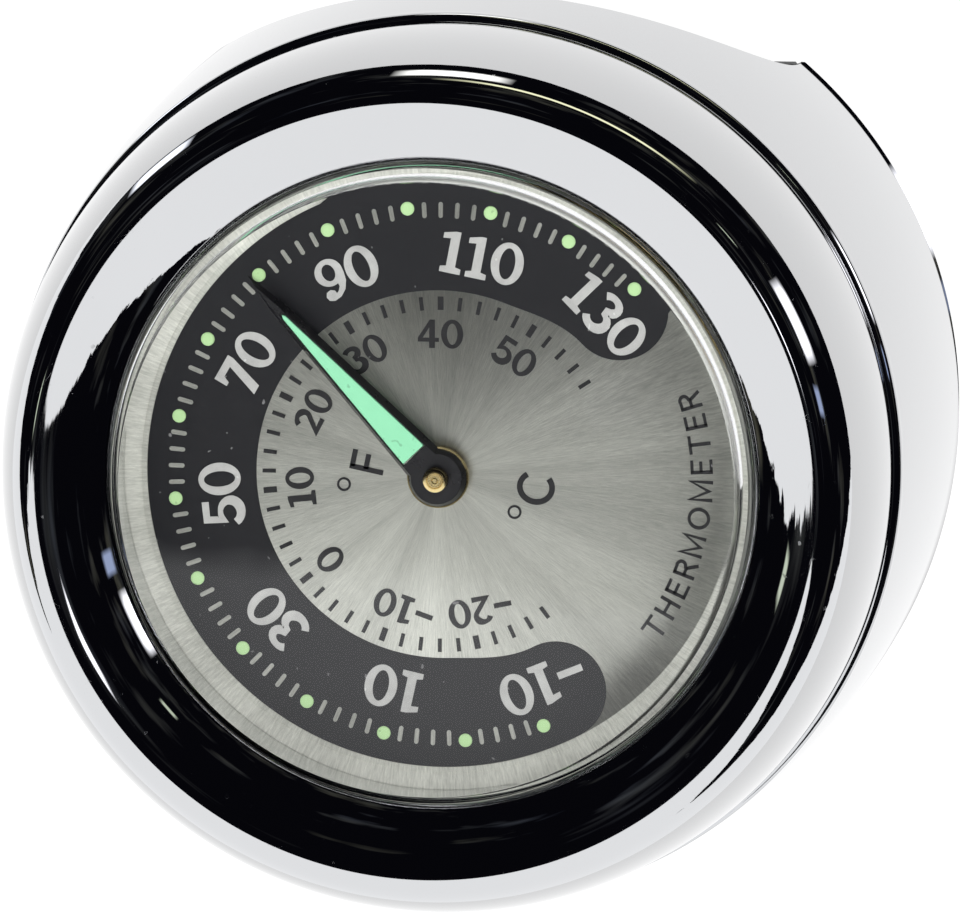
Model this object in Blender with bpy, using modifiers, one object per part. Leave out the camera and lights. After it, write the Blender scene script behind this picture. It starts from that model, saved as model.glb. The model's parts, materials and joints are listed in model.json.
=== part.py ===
"""Handlebar dial thermometer: a chromed two-piece clamp body carrying a bezel, a lens, a dial and a
bimetal movement.

The bar runs along X. +Z leaves the face of the dial, and z = 0 is the flat land under the clamp. Sizes
below are in millimetres, and heights are measured from the printed face of the dial.
"""

from math import asin, atan2, cos, pi, radians, sin, tan

import bmesh
import bpy
from mathutils import Matrix, Vector

# ---- driving dimensions, millimetres, heights from the dial's face ----
MM = 0.001
FIT = 0.15  # clearance left between assembled pieces
RUN = 0.06  # radial clearance of the arbor in its bushes

BAR_R = 12.7  # a one inch handlebar
LINER = 1.2
CHANNEL_R = BAR_R + LINER + 0.2  # bare metal channel round the bar and its liner
BAR_Z = -22.3
PART_Z = -24.0  # rear plane of the housing
PART_GAP = 0.8  # left open between the clamp halves, so that they grip
LAND_Z = -39.2  # flat land under the clamp base
CLAMP_HALF_X = 16.85  # half length of the clamp base along the bar, at the parting line
END_DRAFT = 11.0  # degrees that its ends draw in towards the land

BEZEL_CREST = (18.23, 6.55)  # radius, height of the summit between flare and nose
BEZEL_REAR = (20.92, -2.6)
LIP_R = 14.93
LIP_Z = 4.86
SPIGOT_R = 19.2
MODULE_R = 16.6  # bore of the bezel that takes lens, dial and movement cup

SHOULDER_TOP = (20.85, -2.95)
SHOULDER_EDGE = (21.45, -3.6)
HOUSING_REAR_R = 22.1
FLOOR_Z = -7.0  # floor of the housing's pocket

LENS_Z = (3.4, 4.05)  # the lens's flange, held under the lip
LENS_CROWN = [(14.6, 4.9), (14.42, 5.9)]  # foot and top of the bevel round the crown, which stands above the lip
DIAL_THICK = 0.6
CUP_FLOOR_Z = (-6.3, -5.8)
CUP_R = 15.2

POINTER_Z = (1.15, 1.35)
POINTER_TIP_R = 12.9
BLADE_ROOT = 0.99  # half width of the blade where it leaves the hub
BLADE_KINK = (10.9, 0.36)  # radius and half width where the blade turns to its point
LUME_R = (1.56, 10.45)  # radii that the luminous stripe spans
LUME_HALF = (0.66, 0.06)  # its half width at root and tip
HUB_R = 1.35
PIN_R = 0.58
ARBOR_R = 0.4

SCREW_Y = 16.8
SCREW_R = 1.5
SCREW_TOP_Z = -15.6
HEAD_R = 2.75
HEAD_TALL = 3.0
SEAT_Z = -33.0  # floor of the counterbores
WASHER_THICK = 0.8

DIAL_TURN = -10.8  # degrees from +Y to the dial's twelve o'clock
DEGREES_PER_F = 250.0 / 140.0
REST_F = 79.4  # temperature shown at rest
TOP_F = 60.0  # temperature at the dial's twelve o'clock

ROUND = 48  # segments of the large turned pieces
SMALL_ROUND = 20


def pointer_angle(fahrenheit):
    """Angle of the pointer from +X, in radians, at this temperature."""
    return radians(90.0 + DIAL_TURN - (fahrenheit - TOP_F) * DEGREES_PER_F)


# ---- scene, collections, materials ----
for old in list(bpy.data.objects):
    bpy.data.objects.remove(old, do_unlink=True)

PARTS = bpy.data.collections.new("dial_thermometer")
CUTTERS = bpy.data.collections.new("cutters")
for collection in (PARTS, CUTTERS):
    bpy.context.scene.collection.children.link(collection)


def material(name, colour, roughness, metallic=0.0, transmission=0.0):
    made = bpy.data.materials.new(name)
    made.use_nodes = True
    shader = made.node_tree.nodes["Principled BSDF"]
    shader.inputs["Base Color"].default_value = (*colour, 1.0)
    shader.inputs["Roughness"].default_value = roughness
    shader.inputs["Metallic"].default_value = metallic
    shader.inputs["Transmission Weight"].default_value = transmission
    made.diffuse_color = (*colour, 1.0)
    return made


CHROME = material("chrome", (0.86, 0.87, 0.88), 0.04, 1.0)
CLAMP_CHROME = material("clamp_chrome", (0.84, 0.85, 0.86), 0.06, 1.0)
GLASS = material("lens_glass", (0.95, 0.97, 0.97), 0.0, 0.0, 1.0)
RUBBER = material("black_rubber", (0.02, 0.02, 0.022), 0.6)
RING_METAL = material("spacer_metal", (0.75, 0.76, 0.77), 0.15, 1.0)
DIAL_METAL = material("brushed_dial", (0.66, 0.67, 0.64), 0.28, 1.0)
POINTER_BLACK = material("pointer_black", (0.01, 0.01, 0.011), 0.35)
LUME = material("lume", (0.23, 0.83, 0.42), 0.5)
BRASS = material("brass", (0.78, 0.60, 0.27), 0.25, 1.0)
BIMETAL = material("bimetal", (0.55, 0.50, 0.42), 0.35, 1.0)
TINPLATE = material("tinplate", (0.62, 0.63, 0.64), 0.3, 1.0)
FOAM = material("foam", (0.06, 0.06, 0.06), 0.9)
SCREW_STEEL = material("screw_steel", (0.5, 0.5, 0.51), 0.25, 1.0)


# ---- profile helpers: points are (radius, height) in millimetres ----
def bow(start, end, sagitta, steps):
    """Points of a circular arc from start to end, bulging to the left of the way by sagitta."""
    chord = Vector(end) - Vector(start)
    half = chord.length / 2.0
    radius = (half * half + sagitta * sagitta) / (2.0 * abs(sagitta))
    left = Vector((-chord.y, chord.x)).normalized() * (1.0 if sagitta > 0 else -1.0)
    centre = Vector(start) + chord / 2.0 - left * (radius - abs(sagitta))
    sweep = 2.0 * atan2(half, radius - abs(sagitta)) * (-1.0 if sagitta > 0 else 1.0)
    first = Vector(start) - centre
    points = []
    for i in range(steps + 1):
        turn = sweep * i / steps
        x = first.x * cos(turn) - first.y * sin(turn)
        y = first.x * sin(turn) + first.y * cos(turn)
        points.append((centre.x + x, centre.y + y))
    return points


def fillet(before, corner, after, radius, steps=2):
    """The corner between two straight runs, rounded to this radius."""
    one = (Vector(before) - Vector(corner)).normalized()
    two = (Vector(after) - Vector(corner)).normalized()
    half = one.angle(two) / 2.0
    centre = Vector(corner) + (one + two).normalized() * (radius / sin(half))
    first = Vector(corner) + one * (radius / tan(half)) - centre
    last = Vector(corner) + two * (radius / tan(half)) - centre
    start = atan2(first.y, first.x)
    sweep = (atan2(last.y, last.x) - start + pi) % (2.0 * pi) - pi
    turns = [start + sweep * i / steps for i in range(steps + 1)]
    return [(centre.x + radius * cos(turn), centre.y + radius * sin(turn)) for turn in turns]


def ring_profile(inner, outer, low, high, chamfer=0.0):
    """A rectangle's corners in the order a turned ring needs, with its four edges chamfered."""
    c = chamfer
    if not c:
        return [(inner, high), (outer, high), (outer, low), (inner, low)]
    return [
        (inner + c, high), (outer - c, high), (outer, high - c), (outer, low + c),
        (outer - c, low), (inner + c, low), (inner, low + c), (inner, high - c),
    ]


# ---- shape helpers ----
def place(obj, collection=PARTS):
    collection.objects.link(obj)
    if collection is CUTTERS:
        obj.hide_render = True
        obj.display_type = "WIRE"
    return obj


def raised(height):
    """Millimetres above the dial's face to metres above the clamp's land."""
    return (height - LAND_Z) * MM


def turned(name, profile, skin, segments=ROUND, centre=(0.0, 0.0), collection=PARTS, closed=True, lift=None):
    """A profile turned about Z. A closed profile makes a ring, and an open one starts and ends on the axis."""
    mesh = bpy.data.meshes.new(name)
    base = raised(0.0) if lift is None else lift
    points = [(r * MM, 0.0, z * MM) for r, z in profile]
    edges = [(i, i + 1) for i in range(len(points) - 1)]
    if closed:
        edges.append((len(points) - 1, 0))
    mesh.from_pydata(points, edges, [])
    obj = place(bpy.data.objects.new(name, mesh), collection)
    obj.location = (centre[0] * MM, centre[1] * MM, base)
    screw = obj.modifiers.new("turn", "SCREW")
    screw.steps = screw.render_steps = segments
    screw.use_merge_vertices = True
    screw.merge_threshold = 1e-6
    screw.use_smooth_shade = True
    if skin:
        mesh.materials.append(skin)
    return obj


def solid_from(name, shape, skin=None, collection=CUTTERS):
    """An object from a bmesh in millimetres, heights from the dial's face."""
    bmesh.ops.scale(shape, vec=(MM, MM, MM), verts=shape.verts)
    mesh = bpy.data.meshes.new(name)
    shape.to_mesh(mesh)
    shape.free()
    obj = place(bpy.data.objects.new(name, mesh), collection)
    obj.location.z = raised(0.0)
    if skin:
        mesh.materials.append(skin)
    return obj


def cylinder(name, radius, length, at, axis="Z", segments=SMALL_ROUND, skin=None, collection=CUTTERS):
    """A cylinder centred at a point, along X or Z."""
    shape = bmesh.new()
    bmesh.ops.create_cone(shape, cap_ends=True, segments=segments, radius1=radius, radius2=radius, depth=length)
    if axis == "X":
        for vert in shape.verts:
            vert.co = Vector((vert.co.z, vert.co.y, -vert.co.x))
    bmesh.ops.translate(shape, vec=at, verts=shape.verts)
    return solid_from(name, shape, skin, collection)


def block(name, size, at, lean=0.0, pivot=(0.0, 0.0, 0.0)):
    """A box centred at a point, then leaned about a line along Y through the pivot."""
    shape = bmesh.new()
    bmesh.ops.create_cube(shape, size=1.0)
    bmesh.ops.scale(shape, vec=size, verts=shape.verts)
    bmesh.ops.translate(shape, vec=at, verts=shape.verts)
    bmesh.ops.rotate(shape, cent=pivot, matrix=Matrix.Rotation(lean, 3, "Y"), verts=shape.verts)
    return solid_from(name, shape)


def boolean(obj, other, operation="DIFFERENCE"):
    cut = obj.modifiers.new(operation.lower(), "BOOLEAN")
    cut.operation = operation
    cut.solver = "EXACT"
    cut.object = other
    return obj


def plate(name, outlines, low, high, skin, parent):
    """A flat plate between two heights, from closed outlines in millimetres. Inner outlines are holes."""
    curve = bpy.data.curves.new(name, "CURVE")
    curve.dimensions = "2D"
    curve.fill_mode = "BOTH"
    curve.extrude = (high - low) / 2.0 * MM
    for outline in outlines:
        spline = curve.splines.new("POLY")
        spline.points.add(len(outline) - 1)
        for point, (x, y) in zip(spline.points, outline):
            point.co = (x * MM, y * MM, 0.0, 1.0)
        spline.use_cyclic_u = True
    obj = place(bpy.data.objects.new(name, curve))
    obj.parent = parent
    obj.location.z = (high + low) / 2.0 * MM
    curve.materials.append(skin)
    return obj


# ---- the head: bezel, lens and what sits behind it ----
def make_bezel():
    """Turned and chromed: domed flare, elliptical nose and skirt in one sweep, and a grooved spigot."""
    skirt_foot = (BEZEL_REAR[0], BEZEL_REAR[1] + 0.3)
    reach, rise = BEZEL_REAR[0] - BEZEL_CREST[0], BEZEL_CREST[1] - skirt_foot[1]
    steps = 9
    turns = [pi / 2.0 * i / steps for i in range(steps + 1)]
    nose = [(BEZEL_CREST[0] + reach * sin(turn), skirt_foot[1] + rise * cos(turn)) for turn in turns]
    rear_edge = fillet(skirt_foot, BEZEL_REAR, (BEZEL_REAR[0] - 1.0, BEZEL_REAR[1]), 0.25)
    groove_top, groove_low, groove_r = -3.9, -4.8, 18.4
    foot = FLOOR_Z + 0.4
    snap_top, snap_low, snap_r = -1.3, -2.1, 16.95
    inside = [
        (SPIGOT_R, BEZEL_REAR[1]), (SPIGOT_R, groove_top), (groove_r, groove_top), (groove_r, groove_low),
        (SPIGOT_R, groove_low), (SPIGOT_R, foot + 0.3), (SPIGOT_R - 0.3, foot), (MODULE_R, foot),
        (MODULE_R, snap_low), (snap_r, snap_low), (snap_r, snap_top), (MODULE_R, snap_top),
        (MODULE_R, LIP_Z - 0.3), (LIP_R, LIP_Z - 0.3), (LIP_R, LIP_Z - 0.08),
    ]
    flare = bow((LIP_R + 0.08, LIP_Z), BEZEL_CREST, 0.42, 5)
    return turned("bezel", nose + rear_edge + inside + flare[:-1], CHROME)


def make_head():
    lens_low, lens_high = LENS_Z
    edge = MODULE_R - FIT
    make_bezel()
    turned("lens_gasket", ring_profile(LIP_R + 0.2, edge, lens_high + FIT, LIP_Z - 0.3 - FIT), RUBBER)
    crown_foot, crown_top = LENS_CROWN
    turned("lens", [(0.0, crown_top[1]), crown_top, crown_foot, (crown_foot[0], lens_high), (edge - 0.2, lens_high),
                    (edge, lens_high - 0.2), (edge, lens_low), (0.0, lens_low)], GLASS, closed=False)
    turned("spacer_ring", ring_profile(LIP_R, edge, FIT, lens_low - FIT, 0.08), RING_METAL)
    turned("dial_plate", ring_profile(1.0, edge, -DIAL_THICK, 0.0), DIAL_METAL)
    snap = turned("retaining_ring", ring_profile(CUP_R + FIT, 16.8, -2.0, -1.4), SCREW_STEEL)
    boolean(snap, block("snap_gap", (3.0, 5.0, 3.0), (0.0, -16.0, -1.7)))
    ring_centre, ring_half = (18.95, -4.35), 0.34
    circle = [(ring_centre[0] + ring_half * sin(2 * pi * i / 8), ring_centre[1] + ring_half * cos(2 * pi * i / 8))
              for i in range(8)]
    turned("bezel_o_ring", circle, RUBBER)


# ---- the movement ----
def make_cup():
    """Pressed cup behind the dial, flanged at its mouth and pierced for the rear bush."""
    wall = 0.5
    low, high = CUP_FLOOR_Z
    flange_top = -DIAL_THICK - FIT
    return turned("movement_cup", [
        (CUP_R - wall, flange_top), (MODULE_R - FIT, flange_top), (MODULE_R - FIT, flange_top - 0.45),
        (CUP_R, flange_top - 0.45), (CUP_R, low + 0.4), (CUP_R - 0.4, low), (1.15, low), (1.15, high),
        (CUP_R - wall, high),
    ], TINPLATE)


def make_coil():
    """Flat spiral of bimetal strip, from the collet on the arbor out to the fixed stud."""
    inner, outer, turns, thick = 2.0, 9.6, 5.0, 0.3
    low, high = -4.9, -2.9
    count = 80
    shape = bmesh.new()
    rails = []
    for i in range(count + 1):
        share = i / count
        angle = 2.0 * pi * turns * share
        radius = inner + (outer - inner) * share
        rails.append([shape.verts.new((radius * cos(angle), radius * sin(angle), z)) for z in (low, high)])
    for one, two in zip(rails, rails[1:]):
        shape.faces.new((one[0], two[0], two[1], one[1]))
    coil = solid_from("bimetal_coil", shape, BIMETAL, PARTS)
    wall = coil.modifiers.new("strip", "SOLIDIFY")
    wall.thickness = thick * MM
    wall.offset = 0.0
    return outer + thick / 2.0


def make_movement():
    make_cup()
    stud_r = 0.6
    reach = make_coil() + stud_r + FIT
    stud_tall = 3.1
    foot = CUP_FLOOR_Z[1] + FIT
    cylinder("coil_stud", stud_r, stud_tall, (reach, 0.0, foot + stud_tall / 2.0), segments=16, skin=BRASS,
             collection=PARTS)
    bore = ARBOR_R + RUN
    turned("front_bush", [
        (bore, 0.32), (1.25, 0.32), (1.35, 0.22), (1.35, FIT / 2), (0.9, FIT / 2), (0.9, -1.5), (bore, -1.5),
    ], BRASS, SMALL_ROUND)
    turned("rear_bush", [
        (bore, -5.1), (1.6, -5.1), (1.6, CUP_FLOOR_Z[1] + FIT), (1.0, CUP_FLOOR_Z[1] + FIT), (1.0, -6.35),
        (bore, -6.35),
    ], BRASS, SMALL_ROUND)
    pad_low = FLOOR_Z + FIT
    turned("cushion_pad", ring_profile(3.0, 14.0, pad_low, CUP_FLOOR_Z[0] - FIT), FOAM, 64)


# ---- the turning pieces: all hang from an empty on the pointer's axis ----
def blade(half_base, half_tip, start, tip):
    """Outline of a straight tapering blade along +X."""
    return [(start, half_base), (tip, half_tip), (tip, -half_tip), (start, -half_base)]


def hand_outline():
    """Round hub running straight into a long blade, which turns to a finer point near its end."""
    tip_half = 0.04
    clear = asin(BLADE_ROOT / HUB_R)
    steps = 28
    hub = []
    for i in range(steps + 1):
        angle = clear + (2.0 * pi - 2.0 * clear) * i / steps
        hub.append((HUB_R * cos(angle), HUB_R * sin(angle)))
    kink, half = BLADE_KINK
    return [(kink, half), *hub, (kink, -half), (POINTER_TIP_R, -tip_half), (POINTER_TIP_R, tip_half)]


def circle_outline(radius, steps=24):
    return [(radius * cos(2 * pi * i / steps), radius * sin(2 * pi * i / steps)) for i in range(steps)]


def make_pointer():
    axis = bpy.data.objects.new("pointer_axis", None)
    PARTS.objects.link(axis)
    axis.location.z = raised(0.0)
    axis.rotation_euler.z = pointer_angle(REST_F)
    low, high = POINTER_Z
    (root, tip), (half_root, half_tip) = LUME_R, LUME_HALF
    window = blade(half_root + 0.03, half_tip + 0.03, root - 0.04, tip + 0.1)
    plate("pointer", [hand_outline(), circle_outline(ARBOR_R + 0.05), window], low, high, POINTER_BLACK, axis)
    plate("pointer_lume", [blade(half_root, half_tip, root, tip)], low + 0.02, high + 0.03, LUME, axis)
    collet = turned("pointer_collet", [
        (ARBOR_R + 0.05, 1.08), (1.2, 1.08), (1.45, 0.85), (1.45, 0.5), (1.3, 0.42), (ARBOR_R + 0.05, 0.42),
    ], BRASS, SMALL_ROUND, lift=0.0)
    arbor = turned("arbor", [
        (0.0, 1.95), (0.26, 1.95), (0.3, 1.88), (0.36, 1.88), (0.42, 1.95), (0.47, 1.93), (PIN_R, 1.85),
        (PIN_R, 1.42), (ARBOR_R, 1.42), (ARBOR_R, -6.0), (0.2, -6.2), (0.0, -6.2),
    ], BRASS, SMALL_ROUND, closed=False, lift=0.0)
    hub = turned("coil_collet", ring_profile(ARBOR_R + 0.05, 1.6, -4.9, -2.9, 0.1), BRASS, SMALL_ROUND, lift=0.0)
    for obj in (collet, arbor, hub):
        obj.parent = axis


# ---- the clamp: housing above the bar, base below it ----
def make_housing():
    """Chromed body, pocketed for the bezel's spigot in front and saddled for the bar behind."""
    rise = SHOULDER_TOP[1] - SHOULDER_EDGE[1]
    reach = SHOULDER_EDGE[0] - SHOULDER_TOP[0]
    turns = [pi / 2.0 * i / 4 for i in range(5)]
    shoulder = [(SHOULDER_TOP[0] + reach * sin(turn), SHOULDER_EDGE[1] + rise * cos(turn)) for turn in turns]
    foot = (HOUSING_REAR_R, PART_Z + 0.35)
    wall = bow(SHOULDER_EDGE, foot, 0.25, 4)
    rear_edge = fillet(foot, (HOUSING_REAR_R, PART_Z), (HOUSING_REAR_R - 1.0, PART_Z), 0.3)
    pocket_r = SPIGOT_R + FIT
    mouth = [(0.0, FLOOR_Z), (pocket_r, FLOOR_Z), (pocket_r, SHOULDER_TOP[1] - 0.15),
             (pocket_r + 0.15, SHOULDER_TOP[1])]
    profile = mouth + shoulder + wall[1:] + rear_edge + [(0.0, PART_Z)]
    housing = turned("housing", profile, CHROME, closed=False)
    boolean(housing, cylinder("upper_channel", CHANNEL_R, 60.0, (0.0, 0.0, BAR_Z), "X", 60))
    for side in (-1, 1):
        tap = cylinder(f"tapped_hole_{side}", SCREW_R + FIT, 11.0, (0.0, side * SCREW_Y, PART_Z + 4.0))
        boolean(housing, tap)


def end_x(height):
    """Half length of the clamp along the bar at this height: its ends draw in below the split."""
    return CLAMP_HALF_X - max(0.0, PART_Z - PART_GAP - height) * tan(radians(END_DRAFT))


def make_clamp_base():
    """Lower half of the clamp: a tapered cup with drafted flats at both ends and two counterbored holes."""
    top = PART_Z - PART_GAP
    cone_low = (19.9, LAND_Z + 3.0)
    land = (16.9, LAND_Z)
    profile = [(0.0, top), (21.6, top), (21.85, top - 0.25)] + bow(cone_low, land, 0.85, 6) + [(0.0, LAND_Z)]
    base = turned("clamp_base", profile, CLAMP_CHROME, closed=False)
    boolean(base, cylinder("lower_channel", CHANNEL_R, 60.0, (0.0, 0.0, BAR_Z), "X", 60))
    for side in (-1, 1):
        flat = block(f"end_flat_{side}", (20.0, 60.0, 60.0), (side * (CLAMP_HALF_X + 10.0), 0.0, top),
                     side * radians(END_DRAFT), (side * CLAMP_HALF_X, 0.0, top))
        hole = cylinder(f"clearance_hole_{side}", SCREW_R + 0.2, 20.0, (0.0, side * SCREW_Y, -28.0))
        seat = cylinder(f"counterbore_{side}", HEAD_R + 0.2, 10.0, (0.0, side * SCREW_Y, SEAT_Z - 5.0))
        for cutter in (flat, hole, seat):
            boolean(base, cutter)


def make_liner(name, sign):
    """Half sleeve of rubber between the bar and one half of the clamp: sign is 1 above the bar, -1 below."""
    outer = BAR_R + LINER + 0.05
    start = radians(5.5)
    steps = 18
    shape = bmesh.new()
    rails = []
    for i in range(steps + 1):
        angle = start + (pi - 2.0 * start) * i / steps
        y, z = outer * cos(angle), BAR_Z + sign * outer * sin(angle)
        rails.append([shape.verts.new((x, y, z)) for x in (-end_x(z), end_x(z))])
    for one, two in zip(rails, rails[1:]):
        face = (one[0], one[1], two[1], two[0])
        shape.faces.new(face if sign < 0 else face[::-1])
    liner = solid_from(name, shape, RUBBER, PARTS)
    wall = liner.modifiers.new("sleeve", "SOLIDIFY")
    wall.thickness = LINER * MM
    wall.offset = -1.0


def make_fasteners():
    washer_top = SEAT_Z - FIT
    head_top = washer_top - WASHER_THICK - FIT
    head_low = head_top - HEAD_TALL
    for number, side in ((1, -1), (2, 1)):
        centre = (0.0, side * SCREW_Y)
        screw = turned(f"clamp_screw_{number}", [
            (0.0, SCREW_TOP_Z), (SCREW_R - 0.3, SCREW_TOP_Z), (SCREW_R, SCREW_TOP_Z - 0.3), (SCREW_R, head_top),
            (HEAD_R - 0.15, head_top), (HEAD_R, head_top - 0.15), (HEAD_R, head_low + 0.25),
            (HEAD_R - 0.25, head_low), (0.0, head_low),
        ], SCREW_STEEL, SMALL_ROUND, centre, closed=False)
        socket = cylinder(f"hex_socket_{number}", 1.44, 3.6, (*centre, head_low), segments=6)
        boolean(screw, socket)
        turned(f"lock_washer_{number}", ring_profile(SCREW_R + 0.1, HEAD_R - 0.05, washer_top - WASHER_THICK,
                                                     washer_top), SCREW_STEEL, SMALL_ROUND, centre)


def smooth_round_pieces():
    for obj in PARTS.objects:
        if obj.type == "MESH":
            obj.data.shade_smooth()
            obj.data.set_sharp_from_angle(angle=radians(35.0))


make_head()
make_movement()
make_pointer()
make_housing()
make_clamp_base()
make_liner("upper_liner", 1)
make_liner("lower_liner", -1)
make_fasteners()
smooth_round_pieces()
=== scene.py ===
"""Looks of the handlebar dial thermometer: chrome, glass, brushed dial, printed scales, floor, light, camera.

Lengths are in millimetres from the dial's printed face on the pointer's axis, unless a name says otherwise.
"""

import json
from math import asin, atan2, cos, hypot, pi, radians, sin, tan

import bmesh
import bpy
from mathutils import Matrix, Vector


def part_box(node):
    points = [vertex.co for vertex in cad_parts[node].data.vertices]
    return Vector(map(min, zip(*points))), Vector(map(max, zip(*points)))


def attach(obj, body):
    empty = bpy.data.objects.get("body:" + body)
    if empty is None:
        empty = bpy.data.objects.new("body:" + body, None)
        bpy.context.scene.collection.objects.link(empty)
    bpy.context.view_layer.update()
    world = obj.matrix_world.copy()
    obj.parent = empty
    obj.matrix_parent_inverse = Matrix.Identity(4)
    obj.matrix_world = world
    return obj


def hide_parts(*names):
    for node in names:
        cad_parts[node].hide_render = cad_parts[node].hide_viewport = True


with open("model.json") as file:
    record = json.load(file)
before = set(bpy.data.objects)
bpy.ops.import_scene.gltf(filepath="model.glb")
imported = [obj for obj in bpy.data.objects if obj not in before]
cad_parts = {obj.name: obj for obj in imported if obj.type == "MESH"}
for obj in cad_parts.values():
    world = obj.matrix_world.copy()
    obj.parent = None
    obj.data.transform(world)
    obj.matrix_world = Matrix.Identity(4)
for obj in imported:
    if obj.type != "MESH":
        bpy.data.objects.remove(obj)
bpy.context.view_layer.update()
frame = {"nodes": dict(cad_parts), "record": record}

MM = 0.001
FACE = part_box("dial_plate")[1].z  # height of the dial's face above the floor, metres
DIAL_TURN = radians(-10.8)  # from +Y to the dial's twelve o'clock
DOT_R = 12.6  # circle of the luminous dots, the unit of the dial's layout
DEGREES_PER_F = 250.0 / 140.0
REST_F = 79.4
FINE = 256  # segments of the large turned pieces
SMALL = 64  # segments of the small ones
WEAR_R = 18.6  # the bezel's summit, where hands and cloths rub it
BAND_EDGE_R = 13.86  # outer edge of the printed band


def node_span(node):
    """Lowest and highest height of a CAD node, in millimetres from the dial's face."""
    low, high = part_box(node)
    return (low.z - FACE) / MM, (high.z - FACE) / MM


def node_radius(node):
    low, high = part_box(node)
    return (high.x - low.x) / 2.0 / MM


# ---------------------------------------------------------------- node helpers
class Nodes:
    """A short way to write a material's node tree."""

    def __init__(self, tree):
        self.tree = tree

    def add(self, kind, settings=None, **inputs):
        node = self.tree.nodes.new(kind)
        for key, value in (settings or {}).items():
            setattr(node, key, value)
        for key, value in inputs.items():
            self.feed(node, key.replace("_", " "), value)
        return node

    def feed(self, node, socket, value):
        target = node.inputs[int(socket)] if socket.isdigit() else node.inputs[socket]
        if isinstance(value, bpy.types.NodeSocket):
            self.tree.links.new(value, target)
        else:
            target.default_value = value

    def math(self, operation, one, two=0.0, clamp=False):
        node = self.tree.nodes.new("ShaderNodeMath")
        node.operation = operation
        node.use_clamp = clamp
        self.feed(node, "0", one)
        self.feed(node, "1", two)
        return node.outputs[0]

    def vector(self, operation, one, two=(0.0, 0.0, 0.0)):
        node = self.tree.nodes.new("ShaderNodeVectorMath")
        node.operation = operation
        self.feed(node, "0", one)
        if operation == "SCALE":
            self.feed(node, "Scale", two)
        elif operation != "NORMALIZE":
            self.feed(node, "1", two)
        return node.outputs[0]

    def split(self, vector):
        return self.add("ShaderNodeSeparateXYZ", Vector=vector).outputs

    def join(self, x, y, z=0.0):
        return self.add("ShaderNodeCombineXYZ", X=x, Y=y, Z=z).outputs[0]

    def length(self, vector):
        return self.add("ShaderNodeVectorMath", {"operation": "LENGTH"}, Vector=vector).outputs["Value"]

    def span(self, value, low, high, to_low=0.0, to_high=1.0):
        node = self.tree.nodes.new("ShaderNodeMapRange")
        node.clamp = True
        for key, number in (("Value", value), ("From Min", low), ("From Max", high),
                            ("To Min", to_low), ("To Max", to_high)):
            self.feed(node, key, number)
        return node.outputs[0]

    def noise(self, vector, scale, detail=2.0, roughness=0.5):
        node = self.add("ShaderNodeTexNoise", Vector=vector, Scale=scale, Detail=detail, Roughness=roughness)
        return node.outputs["Fac"]

    def mix(self, share, one, two):
        node = self.tree.nodes.new("ShaderNodeMix")
        node.data_type = "RGBA"
        node.clamp_factor = True
        self.feed(node, "0", share)
        for index, colour in ((6, one), (7, two)):
            if not isinstance(colour, bpy.types.NodeSocket):
                colour = (*colour, 1.0)
            self.feed(node, str(index), colour)
        return node.outputs[2]

    def bump(self, height, distance, strength=1.0):
        node = self.add("ShaderNodeBump", Height=height, Distance=distance, Strength=strength)
        return node.outputs["Normal"]


def new_material(name, **inputs):
    """A material with its Principled shader's plain sockets set, and the helper for the rest of its nodes."""
    made = bpy.data.materials.new(name)
    made.use_nodes = True
    shader = made.node_tree.nodes["Principled BSDF"]
    for key, value in inputs.items():
        shader.inputs[key.replace("_", " ")].default_value = value
    return made, shader, Nodes(made.node_tree)


def object_place(nodes):
    """The point's position, in metres, in the row frame at rest."""
    return nodes.add("ShaderNodeTexCoord").outputs["Object"]


# ---------------------------------------------------------------- materials
def scratches(nodes, place, scale, width):
    """Hairline marks: thin cell borders of a stretched Voronoi pattern, broken up by noise."""
    cells = nodes.add("ShaderNodeTexVoronoi", {"feature": "DISTANCE_TO_EDGE"}, Vector=place, Scale=scale)
    line = nodes.math("LESS_THAN", cells.outputs["Distance"], width)
    gaps = nodes.math("GREATER_THAN", nodes.noise(place, scale * 0.9, 1.0), 0.63)
    return nodes.math("MULTIPLY", line, gaps)


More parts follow.
